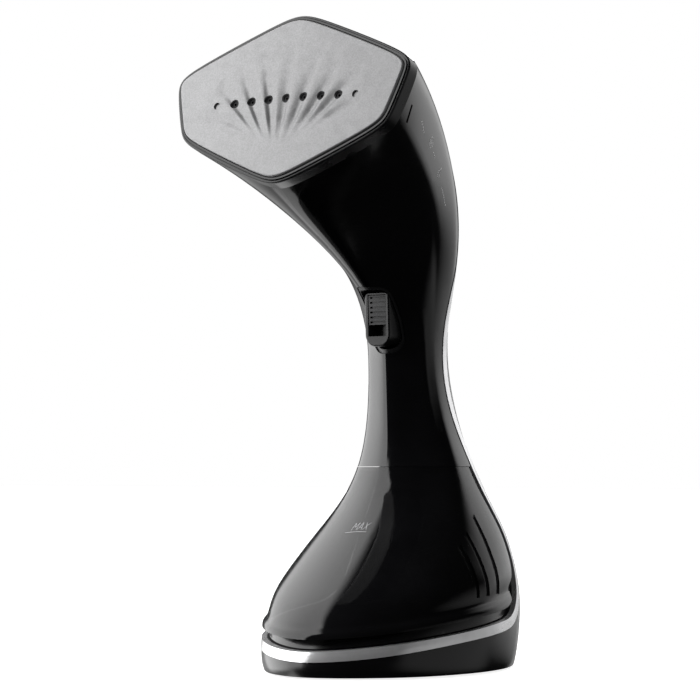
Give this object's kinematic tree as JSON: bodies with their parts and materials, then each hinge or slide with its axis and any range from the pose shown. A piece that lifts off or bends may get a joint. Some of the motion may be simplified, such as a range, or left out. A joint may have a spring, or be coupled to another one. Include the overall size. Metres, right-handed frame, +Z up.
{
  "type": "garment steamer",
  "caption": "Handheld garment steamer: hexagonal steam plate, faceted neck and handle with rocker trigger, and a docked smoked water tank on a flat base.",
  "frame": {"origin": "centre of the anti-slip pad on the underside, where the steamer stands", "axes": "+Z up along the handle, the steam plate faces -Y, X across, symmetric about X = 0 apart from the filler flap and the grip grooves"},
  "size_m": [0.119, 0.1761, 0.2854],
  "materials": {
    "gloss_black": "high gloss moulded",
    "gloss_black_base": "gloss moulded",
    "bright_trim": "bright satin metallised",
    "matte_black": "fine matt moulded",
    "smoked_clear": "smoked transparent plastic",
    "silicone": "translucent silicone",
    "rubber_black": "soft black rubber",
    "steel": "zinc plated",
    "spring_steel": "spring wire",
    "acetal": "natural moulded",
    "trigger_black": "semi-gloss moulded",
    "slider_black": "semi-matt moulded",
    "plate_aluminium": "fine satin anodised",
    "bezel_black": "semi-gloss heat-resistant",
    "port_metal": "dark sintered insert",
    "cast_aluminium": "as cast",
    "element_steel": "heat tinted",
    "brass_fitting": "turned",
    "circuit_board": "green solder mask",
    "relay_case": "blue moulded"
  },
  "bodies": {
    "housing": {"front_housing": "gloss_black", "rear_cover": "gloss_black", "base_housing": "gloss_black_base", "trim_band": "bright_trim", "tank_dock": "matte_black", "trigger_surround": "matte_black", "trigger_pin": "steel", "trigger_bracket": "acetal", "microswitch": "matte_black", "trigger_spring": "spring_steel", "soleplate": "plate_aluminium", "plate_bezel": "bezel_black", "steam_nozzles": "port_metal", "plate_gasket": "silicone", "boiler_casting": "cast_aluminium", "heating_element": "element_steel", "boiler_cover": "cast_aluminium", "boiler_screws": "steel", "boiler_inlet": "brass_fitting", "thermostat": "cast_aluminium", "thermal_fuse": "element_steel", "water_pump": "acetal", "pump_cradle": "matte_black", "suction_hose": "silicone", "feed_hose": "silicone", "tank_socket": "matte_black", "socket_seal": "silicone", "control_board": "circuit_board", "relay": "relay_case", "capacitor": "cast_aluminium", "cord_gland": "rubber_black", "cord_clamp": "matte_black", "base_cover": "matte_black", "base_pad": "rubber_black", "base_screws": "steel"},
    "trigger": {"steam_trigger": "trigger_black"},
    "slider": {"lock_slider": "slider_black"},
    "switch_plunger": {"switch_button": "acetal"},
    "water_tank": {"tank_shell": "smoked_clear", "tank_carrier": "gloss_black_base", "filler_flap_pin": "steel", "tank_spigot": "matte_black", "pickup_filter": "matte_black", "valve_spring": "spring_steel"},
    "flap": {"filler_flap": "matte_black", "filler_seal": "silicone"},
    "valve": {"tank_valve": "acetal", "valve_seal": "silicone"}
  },
  "joints": [
    {"name": "trigger_press", "type": "hinge", "parent": "housing", "child": "trigger", "pos_m": [0, -0.00627, 0.16689], "axis": [1, 0, 0], "range_deg": [0, 6], "stiffness_Nm_per_rad": 0.8, "springref_deg": -11.46, "deforming": ["trigger_spring"]},
    {"name": "switch_plunge", "type": "slide", "parent": "housing", "child": "switch_plunger", "axis": [0, 1, 0], "range_m": [0, 0.0008]},
    {"name": "lock_slide", "type": "slide", "parent": "trigger", "child": "slider", "axis": [0, 0.0419, -0.9991], "range_m": [0, 0.005]},
    {"name": "tank_release", "type": "slide", "parent": "housing", "child": "water_tank", "axis": [0, -1, 0], "range_m": [0, 0.13]},
    {"name": "flap_open", "type": "hinge", "parent": "water_tank", "child": "flap", "pos_m": [-0.04874, 0.015, 0.04861], "axis": [0, -1, 0], "range_deg": [0, 100]},
    {"name": "valve_lift", "type": "slide", "parent": "water_tank", "child": "valve", "axis": [0, -1, 0], "range_m": [0, 0.0025], "stiffness_N_per_m": 200, "springref_m": -0.002, "deforming": ["valve_spring"]}
  ],
  "couplings": [
    {"joint": "switch_plunge", "follows": "trigger_press", "m_per_rad": 0.007639}
  ]
}
